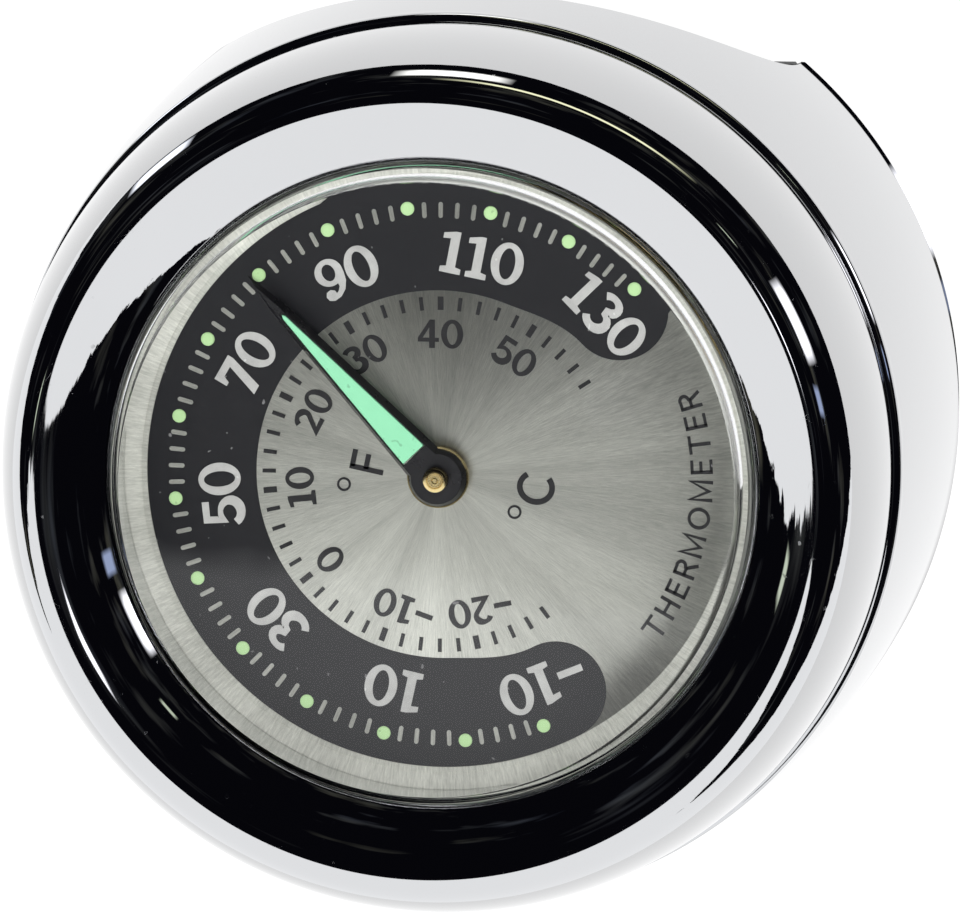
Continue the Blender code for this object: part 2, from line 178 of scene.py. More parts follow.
def chrome(name, colour, crest_wear=False):
    """Polished chrome with a faint film, turned polishing lines and, on the bezel's summit, hairline wear."""
    made, shader, nodes = new_material(name, Metallic=1.0)
    place = object_place(nodes)
    x, y, z = nodes.split(place)
    film = nodes.noise(place, 70.0, 3.0, 0.6)
    nodes.feed(shader, "Base Color", nodes.mix(film, [c * 0.965 for c in colour], colour))
    around = nodes.split(nodes.vector("NORMALIZE", nodes.join(x, y)))
    lathe = nodes.join(nodes.math("MULTIPLY", around[0], 3.0), nodes.math("MULTIPLY", around[1], 3.0),
                       nodes.math("MULTIPLY", z, 2600.0))
    polish = nodes.noise(lathe, 3.0, 4.0, 0.7)
    smear = nodes.span(nodes.noise(place, 45.0, 2.0), 0.56, 0.74)
    rubbed = nodes.math("MULTIPLY", smear, nodes.span(polish, 0.42, 0.7))
    specks = nodes.math("GREATER_THAN", nodes.noise(place, 2600.0, 0.0), 0.84)
    rough = nodes.math("ADD", nodes.math("MULTIPLY", rubbed, 0.08), 0.02)
    rough = nodes.math("ADD", rough, nodes.math("MULTIPLY", specks, 0.12))
    if crest_wear:
        reach = nodes.length(nodes.join(x, y))
        off_crest = nodes.math("ABSOLUTE", nodes.math("SUBTRACT", reach, WEAR_R * MM))
        near = nodes.math("SUBTRACT", 1.0, nodes.span(off_crest, 0.0002, 0.0009), clamp=True)
        marks = nodes.math("MAXIMUM", scratches(nodes, place, 900.0, 0.010),
                           scratches(nodes, place, 520.0, 0.006))
        rough = nodes.math("ADD", rough, nodes.math("MULTIPLY", nodes.math("MULTIPLY", marks, near), 0.12))
    nodes.feed(shader, "Roughness", rough)
    nodes.feed(shader, "Normal", nodes.bump(nodes.math("MULTIPLY", polish, 0.1), 0.000004, 0.5))
    return made


def brushed_dial():
    """Silvery plate brushed from its centre outwards, with a paler border and broad painted highlight wedges,
    under clear lacquer.
    """
    made, shader, nodes = new_material("brushed_dial", Anisotropic=0.82, Coat_Weight=0.15,
                                       Coat_Roughness=0.08)
    place = object_place(nodes)
    x, y, _ = nodes.split(place)
    flat = nodes.join(x, y)
    reach = nodes.length(flat)
    way = nodes.vector("NORMALIZE", flat)
    way_x, way_y, _ = nodes.split(way)
    along = nodes.join(way_x, way_y, nodes.math("MULTIPLY", reach, 9.0))
    fine = nodes.noise(along, 150.0, 3.0, 0.75)
    broad = nodes.noise(along, 11.0, 2.0, 0.6)
    strand = nodes.math("ADD", nodes.math("MULTIPLY", fine, 0.75), nodes.math("MULTIPLY", broad, 0.25))
    tint = nodes.mix(nodes.span(strand, 0.36, 0.66), (0.50, 0.51, 0.455), (0.80, 0.81, 0.73))
    # Painted highlight: broad sectors round the centre are lightened in the plate's colour, standing in for
    # the sunburst's bright reflection wedges.
    painted_sheen_wedge = nodes.span(nodes.noise(nodes.vector("MULTIPLY", way, (2.4, 2.4, 1.0)), 1.0, 2.0), 0.35, 0.65)
    painted_sheen_tint = nodes.mix(painted_sheen_wedge, (0.76, 0.76, 0.76), (1.0, 1.0, 1.0))
    nodes.feed(shader, "Base Color", nodes.vector("MULTIPLY", tint, painted_sheen_tint))
    nodes.feed(shader, "Roughness", nodes.span(strand, 0.3, 0.7, 0.32, 0.47))
    nodes.feed(shader, "Metallic", nodes.span(reach, BAND_EDGE_R * MM, (BAND_EDGE_R + 0.04) * MM, 0.9, 0.45))
    nodes.feed(shader, "Normal", nodes.bump(fine, 0.000012, 0.6))
    tangent = nodes.add("ShaderNodeTangent", {"direction_type": "RADIAL", "axis": "Z"})
    nodes.feed(shader, "Tangent", tangent.outputs["Tangent"])
    return made


def printed(name, colour, roughness, grain=0.05):
    """Satin ink, with a faint grain and a little dust."""
    made, shader, nodes = new_material(name, Specular_IOR_Level=0.45)
    place = object_place(nodes)
    mottle = nodes.noise(place, 900.0, 3.0, 0.7)
    dust = nodes.math("GREATER_THAN", nodes.noise(place, 3400.0, 0.0), 0.86)
    shade = nodes.mix(mottle, [c * (1 - grain) for c in colour], [c * (1 + grain) for c in colour])
    nodes.feed(shader, "Base Color", nodes.mix(dust, shade, [min(1.0, c + 0.12) for c in colour]))
    nodes.feed(shader, "Roughness", nodes.span(mottle, 0.3, 0.7, roughness - 0.06, roughness + 0.06))
    nodes.feed(shader, "Normal", nodes.bump(mottle, 0.0000015, 0.4))
    return made


def chalky(name, colour, glow):
    """Luminous paint: a dense pigment with small pits and a faint glow of its own."""
    made, shader, nodes = new_material(
        name, Roughness=0.55, Emission_Color=(*colour, 1.0), Emission_Strength=glow, Specular_IOR_Level=0.35)
    place = object_place(nodes)
    mottle = nodes.noise(place, 2100.0, 4.0, 0.7)
    pits = nodes.math("GREATER_THAN", nodes.noise(place, 4200.0, 0.0), 0.77)
    shade = nodes.mix(mottle, [c * 0.93 for c in colour], [min(1.0, c * 1.05) for c in colour])
    nodes.feed(shader, "Base Color", nodes.mix(pits, shade, [c * 0.72 for c in colour]))
    nodes.feed(shader, "Normal", nodes.bump(nodes.math("SUBTRACT", mottle, pits), 0.00002, 0.5))
    return made


def turned_metal(name, dark, light, low, high, pitch):
    """Metal with the fine rings that a lathe leaves."""
    made, shader, nodes = new_material(name, Metallic=1.0)
    place = object_place(nodes)
    x, y, z = nodes.split(place)
    reach = nodes.length(nodes.join(x, y))
    turned_way = nodes.join(nodes.math("MULTIPLY", reach, pitch), 0.0, nodes.math("MULTIPLY", z, pitch))
    rings = nodes.noise(turned_way, 1.0, 3.0, 0.7)
    cloud = nodes.noise(place, 500.0, 2.0)
    share = nodes.math("MULTIPLY", nodes.math("ADD", rings, cloud), 0.5)
    nodes.feed(shader, "Base Color", nodes.mix(share, dark, light))
    nodes.feed(shader, "Roughness", nodes.span(rings, 0.3, 0.7, low, high))
    nodes.feed(shader, "Normal", nodes.bump(rings, 0.00001, 0.5))
    return made


def rubber():
    made, shader, nodes = new_material("black_rubber", Specular_IOR_Level=0.35, Sheen_Weight=0.1)
    place = object_place(nodes)
    grain = nodes.noise(place, 1500.0, 3.0, 0.7)
    nodes.feed(shader, "Base Color", nodes.mix(grain, (0.012, 0.012, 0.014), (0.03, 0.03, 0.034)))
    nodes.feed(shader, "Roughness", nodes.span(grain, 0.3, 0.7, 0.5, 0.72))
    nodes.feed(shader, "Normal", nodes.bump(grain, 0.00004, 0.5))
    return made


def glass():
    """Clear mineral glass. Light passes it unbent on its way to what lies beneath."""
    made, shader, nodes = new_material(
        "lens_glass", Base_Color=(1.0, 1.0, 1.0, 1.0), Transmission_Weight=1.0, IOR=1.46)
    place = object_place(nodes)
    smudge = nodes.span(nodes.noise(place, 90.0, 3.0, 0.6), 0.55, 0.85, 0.0, 0.012)
    nodes.feed(shader, "Roughness", smudge)
    tree = made.node_tree
    path = nodes.add("ShaderNodeLightPath")
    clear = nodes.add("ShaderNodeBsdfTransparent")
    blend = nodes.add("ShaderNodeMixShader")
    tree.links.new(nodes.math("MAXIMUM", path.outputs["Is Shadow Ray"], path.outputs["Is Reflection Ray"]),
                   blend.inputs[0])
    tree.links.new(shader.outputs[0], blend.inputs[1])
    tree.links.new(clear.outputs[0], blend.inputs[2])
    tree.links.new(blend.outputs[0], tree.nodes["Material Output"].inputs["Surface"])
    return made


CHROME = chrome("bezel_chrome", (0.57, 0.573, 0.578), crest_wear=True)
BODY_CHROME = chrome("housing_chrome", (0.56, 0.565, 0.574))
CLAMP_CHROME = chrome("base_chrome", (0.54, 0.545, 0.553))
DIAL = brushed_dial()
BAND_INK = printed("band_ink", (0.009, 0.0092, 0.0105), 0.5, 0.15)
BLACK_INK = printed("black_ink", (0.012, 0.012, 0.013), 0.38)
DOT_LUME = chalky("dot_lume", (0.33, 0.50, 0.25), 0.02)
HAND_LUME = chalky("hand_lume", (0.22, 0.54, 0.33), 0.02)
HAND_BLACK = printed("hand_black", (0.008, 0.008, 0.009), 0.3)
BRASS = turned_metal("brass", (0.62, 0.47, 0.20), (0.90, 0.76, 0.42), 0.16, 0.32, 9000.0)
WALL_METAL = turned_metal("spacer_metal", (0.72, 0.73, 0.73), (0.86, 0.87, 0.87), 0.05, 0.12, 2500.0)
STEEL = turned_metal("screw_steel", (0.40, 0.40, 0.41), (0.62, 0.62, 0.63), 0.18, 0.34, 3000.0)
SILVER_INK = printed("silver_ink", (0.33, 0.332, 0.32), 0.45, 0.3)
TIN = turned_metal("tinplate", (0.50, 0.51, 0.52), (0.68, 0.69, 0.70), 0.22, 0.4, 1500.0)
BIMETAL = turned_metal("bimetal", (0.42, 0.36, 0.28), (0.60, 0.55, 0.46), 0.25, 0.4, 4000.0)
RUBBER = rubber()
GLASS = glass()


# ---------------------------------------------------------------- profiles, (radius, height) in millimetres
def bow(start, end, sagitta, steps):
    """Points of a circular arc from start to end, bulging to the left of the way by sagitta."""
    chord = Vector(end) - Vector(start)
    half = chord.length / 2.0
    radius = (half * half + sagitta * sagitta) / (2.0 * abs(sagitta))
    left = Vector((-chord.y, chord.x)).normalized() * (1.0 if sagitta > 0 else -1.0)
    centre = Vector(start) + chord / 2.0 - left * (radius - abs(sagitta))
    sweep = 2.0 * atan2(half, radius - abs(sagitta)) * (-1.0 if sagitta > 0 else 1.0)
    first = Vector(start) - centre
    points = []
    for i in range(steps + 1):
        turn = sweep * i / steps
        points.append((centre.x + first.x * cos(turn) - first.y * sin(turn),
                       centre.y + first.x * sin(turn) + first.y * cos(turn)))
    return points


def fillet(before, corner, after, radius, steps=10):
    """The corner between two straight runs, rounded to this radius."""
    one = (Vector(before) - Vector(corner)).normalized()
    two = (Vector(after) - Vector(corner)).normalized()
    half = one.angle(two) / 2.0
    centre = Vector(corner) + (one + two).normalized() * (radius / sin(half))
    first = Vector(corner) + one * (radius / tan(half)) - centre
    last = Vector(corner) + two * (radius / tan(half)) - centre
    start = atan2(first.y, first.x)
    sweep = (atan2(last.y, last.x) - start + pi) % (2.0 * pi) - pi
    return [(centre.x + radius * cos(start + sweep * i / steps),
             centre.y + radius * sin(start + sweep * i / steps)) for i in range(steps + 1)]


def disc(radius, centre, steps=32):
    """Points round a circle."""
    return [(centre[0] + radius * cos(2 * pi * i / steps), centre[1] + radius * sin(2 * pi * i / steps))
            for i in range(steps)]


def soft_polygon(corners, steps=4):
    """A closed profile from corners (radius, height, fillet), each rounded where its fillet isn't zero."""
    points = []
    for i, (r, z, size) in enumerate(corners):
        before, after = corners[i - 1][:2], corners[(i + 1) % len(corners)][:2]
        points += fillet(before, (r, z), after, size, steps) if size else [(r, z)]
    return points


# ---------------------------------------------------------------- mesh helpers
def finish_mesh(name, mesh, skin, sharp=30.0):
    mesh.validate()
    mesh.materials.append(skin)
    mesh.shade_smooth()
    mesh.set_sharp_from_angle(angle=radians(sharp))
    obj = bpy.data.objects.new(name, mesh)
    bpy.context.scene.collection.objects.link(obj)
    return obj


def from_bmesh(name, shape, skin, sharp=30.0):
    """An object at the row's origin from a bmesh in millimetres, heights from the dial's face."""
    bmesh.ops.recalc_face_normals(shape, faces=shape.faces)
    to_row = Matrix.Translation((0, 0, FACE)) @ Matrix.Scale(MM, 4)
    bmesh.ops.transform(shape, matrix=to_row, verts=shape.verts)
    mesh = bpy.data.meshes.new(name)
    shape.to_mesh(mesh)
    shape.free()
    return finish_mesh(name, mesh, skin, sharp)


def turned(name, profile, skin, segments=FINE, closed=True, centre=(0.0, 0.0)):
    """A profile turned about the pointer's axis, or about a centre beside it."""
    shape = bmesh.new()
    rows = []
    for r, z in profile:
        if r < 1e-6:
            rows.append([shape.verts.new((centre[0], centre[1], z))] * segments)
            continue
        rows.append([shape.verts.new((*spot, z)) for spot in disc(r, centre, segments)])
    pairs = list(zip(rows, rows[1:])) + ([(rows[-1], rows[0])] if closed else [])
    for one, two in pairs:
        for k in range(segments):
            m = (k + 1) % segments
            corners = []
            for vert in (one[k], one[m], two[m], two[k]):
                if vert not in corners:
                    corners.append(vert)
            shape.faces.new(corners)
    return from_bmesh(name, shape, skin)


def prism(outlines, low, high, shape=None, matrix=None, chamfer=0.0):
    """Flat plates between two heights added to a bmesh: each outline is (points, [holes])."""
    shape = shape or bmesh.new()
    matrix = matrix or Matrix.Identity(4)
    for outline, holes in outlines:
        work = bmesh.new()
        loops = []
        for points in [outline, *holes]:
            verts = [work.verts.new((x, y, low)) for x, y in points]
            loops.append([work.edges.new((a, b)) for a, b in zip(verts, verts[1:] + verts[:1])])
        flat = bmesh.ops.triangle_fill(work, use_beauty=True, edges=[e for loop in loops for e in loop])
        faces = [g for g in flat["geom"] if isinstance(g, bmesh.types.BMFace)]
        top = bmesh.ops.extrude_face_region(work, geom=faces)
        verts = [g for g in top["geom"] if isinstance(g, bmesh.types.BMVert)]
        bmesh.ops.translate(work, vec=(0, 0, high - low), verts=verts)
        bmesh.ops.recalc_face_normals(work, faces=work.faces)
        if chamfer:
            rims = [e for e in work.edges if all(abs(v.co.z - high) < 1e-6 for v in e.verts)
                    and e.calc_face_angle(0.0) > radians(60)]
            bmesh.ops.bevel(work, geom=rims, offset=chamfer, segments=1, affect="EDGES")
        bmesh.ops.transform(work, matrix=matrix, verts=work.verts)
        mesh = bpy.data.meshes.new("part")
        work.to_mesh(mesh)
        work.free()
        shape.from_mesh(mesh)
        bpy.data.meshes.remove(mesh)
    return shape


def cut(obj, other):
    """Cuts one object from another at once and removes the cutter."""
    modifier = obj.modifiers.new("cut", "BOOLEAN")
    modifier.operation = "DIFFERENCE"
    modifier.solver = "EXACT"
    modifier.object = other
    graph = bpy.context.evaluated_depsgraph_get()
    mesh = bpy.data.meshes.new_from_object(obj.evaluated_get(graph), depsgraph=graph)
    obj.modifiers.clear()
    old = obj.data
    obj.data = mesh
    bpy.data.meshes.remove(old)
    bpy.data.objects.remove(other, do_unlink=True)


def rod(radius, length, at, axis="Z", segments=SMALL):
    """A cylinder used as a cutter, centred at a point."""
    shape = bmesh.new()
    bmesh.ops.create_cone(shape, cap_ends=True, segments=segments, depth=length,
                          radius1=radius, radius2=radius)
    if axis == "X":
        bmesh.ops.rotate(shape, matrix=Matrix.Rotation(pi / 2, 3, "Y"), verts=shape.verts)
    bmesh.ops.translate(shape, vec=at, verts=shape.verts)
    return from_bmesh("cutter", shape, STEEL)


def end_cutter(side, top):
    """A block whose inner face draws in towards the foot of the clamp."""
    shape = bmesh.new()
    bmesh.ops.create_cube(shape, size=1.0)
    bmesh.ops.scale(shape, vec=(20.0, 60.0, 60.0), verts=shape.verts)
    bmesh.ops.translate(shape, vec=(side * (CLAMP_HALF_X + 10.0), 0.0, top), verts=shape.verts)
    bmesh.ops.rotate(shape, cent=(side * CLAMP_HALF_X, 0.0, top),
                     matrix=Matrix.Rotation(side * END_DRAFT, 3, "Y"), verts=shape.verts)
    return from_bmesh("cutter", shape, STEEL)


def end_x(height):
    """Half length of the clamp along the bar at this height."""
    return CLAMP_HALF_X - max(0.0, node_span("clamp_base")[1] - height) * tan(END_DRAFT)


def stand_for(obj, body, slot, *nodes):
    """Puts a piece on its body, in place of the CAD nodes that it redraws."""
    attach(obj, body)
    if nodes:
        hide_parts(*nodes)


# ---------------------------------------------------------------- the head
LIP_R, LIP_Z = 14.93, 4.86  # the bezel's inner edge
CREST = (18.23, 6.55)  # its summit
SKIRT_R = node_radius("bezel")
SKIRT_Z = -2.6  # its rear edge
SPIGOT_R = 19.2  # the sleeve that enters the housing
MODULE_R = 16.6  # the bore that holds lens, dial and movement
FLANGE_Z = 4.05  # top of the lens's flange
CROWN_FOOT, CROWN_R = (14.6, 4.9), 14.42  # the bevel round the lens's raised crown


def make_bezel():
    """Domed flare up to the summit, then nose and skirt in one elliptical sweep down to the rear edge."""
    foot_z = SKIRT_Z + 0.3
    turns = [pi / 2.0 * i / 64 for i in range(65)]
    nose = [(CREST[0] + (SKIRT_R - CREST[0]) * sin(turn), foot_z + (CREST[1] - foot_z) * cos(turn))
            for turn in turns]
    rear_edge = fillet((SKIRT_R, foot_z), (SKIRT_R, SKIRT_Z), (SKIRT_R - 1.0, SKIRT_Z), 0.25, 8)
    foot = node_span("bezel")[0]
    inside = [(SPIGOT_R, SKIRT_Z), (SPIGOT_R, -3.9), (18.4, -3.9), (18.4, -4.8), (SPIGOT_R, -4.8),
              (SPIGOT_R, foot + 0.3), (SPIGOT_R - 0.3, foot), (MODULE_R, foot),
              (MODULE_R, -2.1), (16.95, -2.1), (16.95, -1.3), (MODULE_R, -1.3),
              (MODULE_R, LIP_Z - 0.3), (LIP_R, LIP_Z - 0.3)]
    lip = fillet((LIP_R, LIP_Z - 1.0), (LIP_R, LIP_Z), (LIP_R + 0.7, LIP_Z + 0.8), 0.12, 6)
    flare = bow(lip[-1], CREST, 0.42, 48)
    profile = nose + rear_edge + inside + lip + flare[1:-1]
    stand_for(turned("bezel_shell", profile, CHROME), "housing", "chrome", "bezel")


def make_lens():
    """The lens with its flange and raised crown, and the bright ring that spaces it from the dial."""
    low, high = node_span("lens")
    edge = node_radius("lens")
    crown = fillet(CROWN_FOOT, (CROWN_R, high), (0.0, high), 0.06, 6)
    profile = [(0.0, high), (CROWN_R - 0.22, high), *reversed(crown), CROWN_FOOT, (CROWN_FOOT[0], FLANGE_Z),
               (edge - 0.2, FLANGE_Z), (edge, FLANGE_Z - 0.2), (edge, low), (0.0, low)]
    stand_for(turned("lens_disc", profile, GLASS, closed=False), "housing", "lens_glass", "lens")
    low, high = node_span("spacer_ring")
    profile = soft_polygon([(LIP_R, high, 0.08), (edge, high, 0.0), (edge, low, 0.0), (LIP_R, low, 0.08)])
    stand_for(turned("spacer_wall", profile, WALL_METAL), "housing", "spacer_metal", "spacer_ring")


def make_dial():
    """The plate with its turned border: a fine groove between two brushed rings."""
    edge = node_radius("dial_plate")
    low = node_span("dial_plate")[0]
    groove_r, groove_half, groove_deep = 14.15, 0.09, 0.05
    groove = [(groove_r - groove_half, 0.0), (groove_r, -groove_deep), (groove_r + groove_half, 0.0)]
    profile = [(1.0, 0.0), *groove, (edge, 0.0), (edge, low), (1.0, low)]
    stand_for(turned("dial_face", profile, DIAL), "housing", "brushed_dial", "dial_plate")


# ---------------------------------------------------------------- printed scales
def polar(radius, angle):
    """A point on the dial from its radius in dot-circle units and its angle from the dial's own right."""
    turn = angle + DIAL_TURN
    return radius * DOT_R * cos(turn), radius * DOT_R * sin(turn)


def ending(fahrenheit):
    """How far a temperature lies into the last stretch at either end of the scale, 0 to 1."""
    return min(1.0, max(0.0, (abs(fahrenheit - 60.0) - 55.0) / 15.0)) ** 1.5


def angle_f(fahrenheit):
    """Direction of a Fahrenheit temperature: an even scale whose ends draw in slightly."""
    above = fahrenheit - 60.0
    drawn_in = 0.53 * ending(fahrenheit)
    return radians(90.0 - (above - (drawn_in if above > 0.0 else -drawn_in)) * DEGREES_PER_F)


def angle_c(celsius):
    return angle_f(celsius * 1.8 + 32.0)


BAND_IN, BAND_OUT = 0.69, 1.10  # radii of the band
LOBE_R = 0.186  # the band's round ends, a little narrower than the band
BAND_TOP = 0.03  # heights of the two layers of print, millimetres
INK_TOP = 0.05


def smooth(share):
    share = min(1.0, max(0.0, share))
    return share * share * (3.0 - 2.0 * share)


def spread(fahrenheit):
    """Radius of the scale at a temperature: it opens slightly at both ends."""
    return 1.0 + 0.0128 * ending(fahrenheit)


def lobe(place, first):
    """Points round one end of the band, from the edge that it meets first."""
    x, y = polar(BAND_OUT - LOBE_R, place)
    size, steps = LOBE_R * DOT_R, 32
    turns = [first - pi * i / steps + DIAL_TURN for i in range(1, steps)]
    return [(x + size * cos(turn), y + size * sin(turn)) for turn in turns]


def band_outline():
    """A C-shaped band whose inner edge swings out into two round ends."""
    start, end = angle_f(-10.0) + radians(6.0), angle_f(130.0) - radians(1.0)
    inner_end = BAND_OUT - 2.0 * LOBE_R
    swing = radians(26.0)
    steps = 200
    turns = [start + (end - start) * i / steps for i in range(steps + 1)]
    outer = [polar(BAND_OUT, turn) for turn in turns]
    inner = []
    for i in range(steps + 1):
        turn = end + (start - end) * i / steps
        near = min(turn - end, start - turn)
        inner.append(polar(inner_end + (BAND_IN - inner_end) * smooth(near / swing), turn))
    return outer + lobe(end, end) + inner + lobe(start, start + pi)


def tick(inner, outer, width, angle, round_ends):
    """Outline of one radial mark, in dot-circle units."""
    half = width / 2.0
    steps = 5 if round_ends else 1
    points = []
    for end, sign in ((outer, 1), (inner, -1)):
        for i in range(steps + 1):
            lean = (-pi / 2 + pi * i / steps) if round_ends else (-pi / 2 + pi * i)
            along = end + sign * (cos(lean) * half - half if round_ends else 0.0)
            points.append((along, sign * sin(lean) * half))
    turn = angle + DIAL_TURN
    return [(DOT_R * (x * cos(turn) - y * sin(turn)), DOT_R * (x * sin(turn) + y * cos(turn)))
            for x, y in points]


def make_scale_marks():
    band = from_bmesh("scale_band", prism([(band_outline(), [])], 0.0, BAND_TOP, chamfer=0.012), BAND_INK)
    stand_for(band, "housing", "pointer_black")
    fahrenheit = [(tick(spread(t) - 0.04, spread(t) + 0.02, 0.0165, angle_f(t), True), [])
                  for t in range(-10, 131, 2) if t % 10]
    marks = from_bmesh("fahrenheit_ticks", prism(fahrenheit, BAND_TOP, INK_TOP), DIAL)
    stand_for(marks, "housing", "brushed_dial")
    celsius = [(tick(0.617, 0.667, 0.022 if t % 10 == 0 else 0.0145, angle_c(t), False), [])
               for t in range(-28, 59, 2)]
    marks = from_bmesh("celsius_ticks", prism(celsius, 0.0, BAND_TOP), BLACK_INK)
    stand_for(marks, "housing", "pointer_black")


def make_dots():
    """Fifteen low domes of luminous paint on the band."""
    steps = 36
    shape = bmesh.new()
    for t in range(-10, 131, 10):
        x, y = polar(spread(t), angle_f(t))
        rings = []
        for r, z in ((0.325, 0.0), (0.315, 0.03), (0.285, 0.05), (0.18, 0.062)):
            rings.append([shape.verts.new((*spot, BAND_TOP + z)) for spot in disc(r, (x, y), steps)])
        peak = shape.verts.new((x, y, BAND_TOP + 0.066))
        for one, two in zip(rings, rings[1:]):
            for k in range(steps):
                m = (k + 1) % steps
                shape.faces.new((one[k], one[m], two[m], two[k]))
        for k in range(steps):
            shape.faces.new((rings[-1][k], rings[-1][(k + 1) % steps], peak))
        shape.faces.new(rings[0][::-1])
    stand_for(from_bmesh("scale_dots", shape, DOT_LUME, 50.0), "housing", "lume")


# ------------------------------------------------------------ lettering: glyphs 1 high, from their left foot
def arc(centre, radii, start, end, steps=12):
    """Points round an ellipse from one angle to another, in degrees."""
    turns = [radians(start + (end - start) * i / steps) for i in range(steps + 1)]
    return [(centre[0] + radii[0] * cos(turn), centre[1] + radii[1] * sin(turn)) for turn in turns]


def ribbon(path, weights):
    """Outline of a stroke along a path. Weights are half widths, spread evenly along its points."""
    points = [Vector(p) for p in path]
    left, right = [], []
    for i, point in enumerate(points):
        ahead = (points[min(i + 1, len(points) - 1)] - points[max(i - 1, 0)]).normalized()
        if 0 < i < len(points) - 1:
            one = (point - points[i - 1]).normalized()
            two = (points[i + 1] - point).normalized()
            ahead = (one + two).normalized()
            stretch = 1.0 / max(0.5, ahead.dot(one))
        else:
            stretch = 1.0
        share = i / (len(points) - 1) * (len(weights) - 1)
        step = min(int(share), len(weights) - 2)
        half = (weights[step] + (weights[step + 1] - weights[step]) * (share - step)) * stretch
        normal = Vector((-ahead.y, ahead.x)) * half
        left.append(tuple(point + normal))
        right.append(tuple(point - normal))
    return left + right[::-1]


def ring(centre, outer, inner, steps=40):
    """An elliptical outline with an elliptical hole."""
    last = 360 - 360 / steps
    return arc(centre, outer, 0, last, steps - 1), [arc(centre, inner, 0, last, steps - 1)]


def numeral(sign):
    """(outlines, width) of a bold slab-serif figure."""
    if sign == "0":
        return [ring((0.39, 0.5), (0.39, 0.51), (0.185, 0.375))], 0.78
    if sign == "1":
        outline = [(0.06, 0.0), (0.56, 0.0), (0.56, 0.13), (0.42, 0.16), (0.42, 1.0), (0.30, 1.0),
                   (0.02, 0.93), (0.02, 0.80), (0.20, 0.82), (0.20, 0.16), (0.06, 0.13)]
        return [(outline, [])], 0.58
    if sign == "2":
        path = arc((0.34, 0.70), (0.25, 0.225), 165, -30, 14) + [(0.36, 0.36), (0.14, 0.10), (0.64, 0.10)]
        return [(ribbon(path, [0.10, 0.085, 0.07, 0.10, 0.12, 0.10, 0.085, 0.08, 0.09]), [])], 0.70
    if sign == "3":
        path = arc((0.33, 0.745), (0.24, 0.18), 150, -75, 12) + arc((0.33, 0.285), (0.27, 0.22), 75, -155, 14)
        return [(ribbon(path, [0.095, 0.075, 0.095, 0.11, 0.07, 0.11, 0.12, 0.09, 0.09]), [])], 0.70
    if sign == "4":
        outline = [(0.40, 0.0), (0.60, 0.0), (0.60, 0.22), (0.74, 0.22), (0.74, 0.36), (0.60, 0.36),
                   (0.60, 1.0), (0.42, 1.0), (0.0, 0.36), (0.0, 0.22), (0.40, 0.22)]
        return [(outline, [[(0.17, 0.36), (0.40, 0.36), (0.40, 0.72)]])], 0.76
    if sign == "5":
        path = [(0.60, 0.91), (0.17, 0.91), (0.15, 0.56)] + arc((0.32, 0.32), (0.28, 0.25), 128, -155, 18)
        return [(ribbon(path, [0.085, 0.075, 0.06, 0.085, 0.115, 0.12, 0.10, 0.09]), [])], 0.70
    if sign == "7":
        outline = [(0.0, 0.66), (0.10, 0.66), (0.17, 0.82), (0.44, 0.82), (0.16, 0.0), (0.40, 0.0),
                   (0.66, 0.86), (0.66, 1.0), (0.0, 1.0)]
        return [(outline, [])], 0.68
    if sign == "9":
        bowl = arc((0.35, 0.67), (0.34, 0.33), 0, 288, 32)
        tail = [(0.46, 0.28), (0.40, 0.19), (0.33, 0.15), (0.31, 0.23), (0.22, 0.28), (0.11, 0.25),
                (0.06, 0.15), (0.10, 0.05), (0.22, 0.0), (0.40, 0.04), (0.56, 0.16), (0.66, 0.35),
                (0.69, 0.54)]
        eye = arc((0.345, 0.67), (0.155, 0.205), 0, 348, 29)
        return [(bowl + tail, [eye])], 0.70
    return [([(0.0, 0.36), (0.62, 0.36), (0.62, 0.53), (0.0, 0.53)], [])], 0.66


def sans(sign, weight=0.07):
    """(outlines, width) of a plain capital of even weight."""
    w = weight
    top = 1 - w
    bowl = arc((0.36, 0.745), (0.215, 0.203), 80, -80, 10)
    strokes = {
        "T": ([[(0.0, top), (0.74, top)], [(0.37, 0.0), (0.37, top)]], 0.74),
        "H": ([[(w, 0.0), (w, 1.0)], [(0.68 - w, 0.0), (0.68 - w, 1.0)], [(w, 0.52), (0.68 - w, 0.52)]],
              0.68),
        "E": ([[(w, 0.0), (w, 1.0)], [(w, top), (0.56, top)], [(w, 0.53), (0.51, 0.53)], [(w, w), (0.58, w)]],
              0.58),
        "F": ([[(w, 0.0), (w, 1.0)], [(w, top), (0.58, top)], [(w, 0.52), (0.52, 0.52)]], 0.58),
        "R": ([[(w, 0.0), (w, 1.0)], [(w, top), (0.36, top), *bowl, (0.36, 0.49), (w, 0.49)],
               [(0.36, 0.49), (0.62, 0.0)]], 0.64),
        "M": ([[(w, 0.0), (w, 1.0), (0.43, 0.16), (0.86 - w, 1.0), (0.86 - w, 0.0)]], 0.86),
        "C": ([arc((0.46, 0.5), (0.46 - w, 0.5 - w), 42, 318, 26)], 0.82),
    }
    if sign == "O":
        return [ring((0.44, 0.5), (0.44, 0.51), (0.44 - 2 * w, 0.51 - 2 * w))], 0.88
    paths, width = strokes[sign]
    return [(ribbon(path, [w, w]), []) for path in paths], width


def lay(word, glyph, height, gap):
    """A word's glyphs as (outlines, left edge) and its whole width, in units of its height."""
    placed, pen = [], 0.0
    for sign in word:
        outlines, width = glyph(sign)
        placed.append((outlines, pen, width))
        pen += width + gap
    return placed, pen - gap


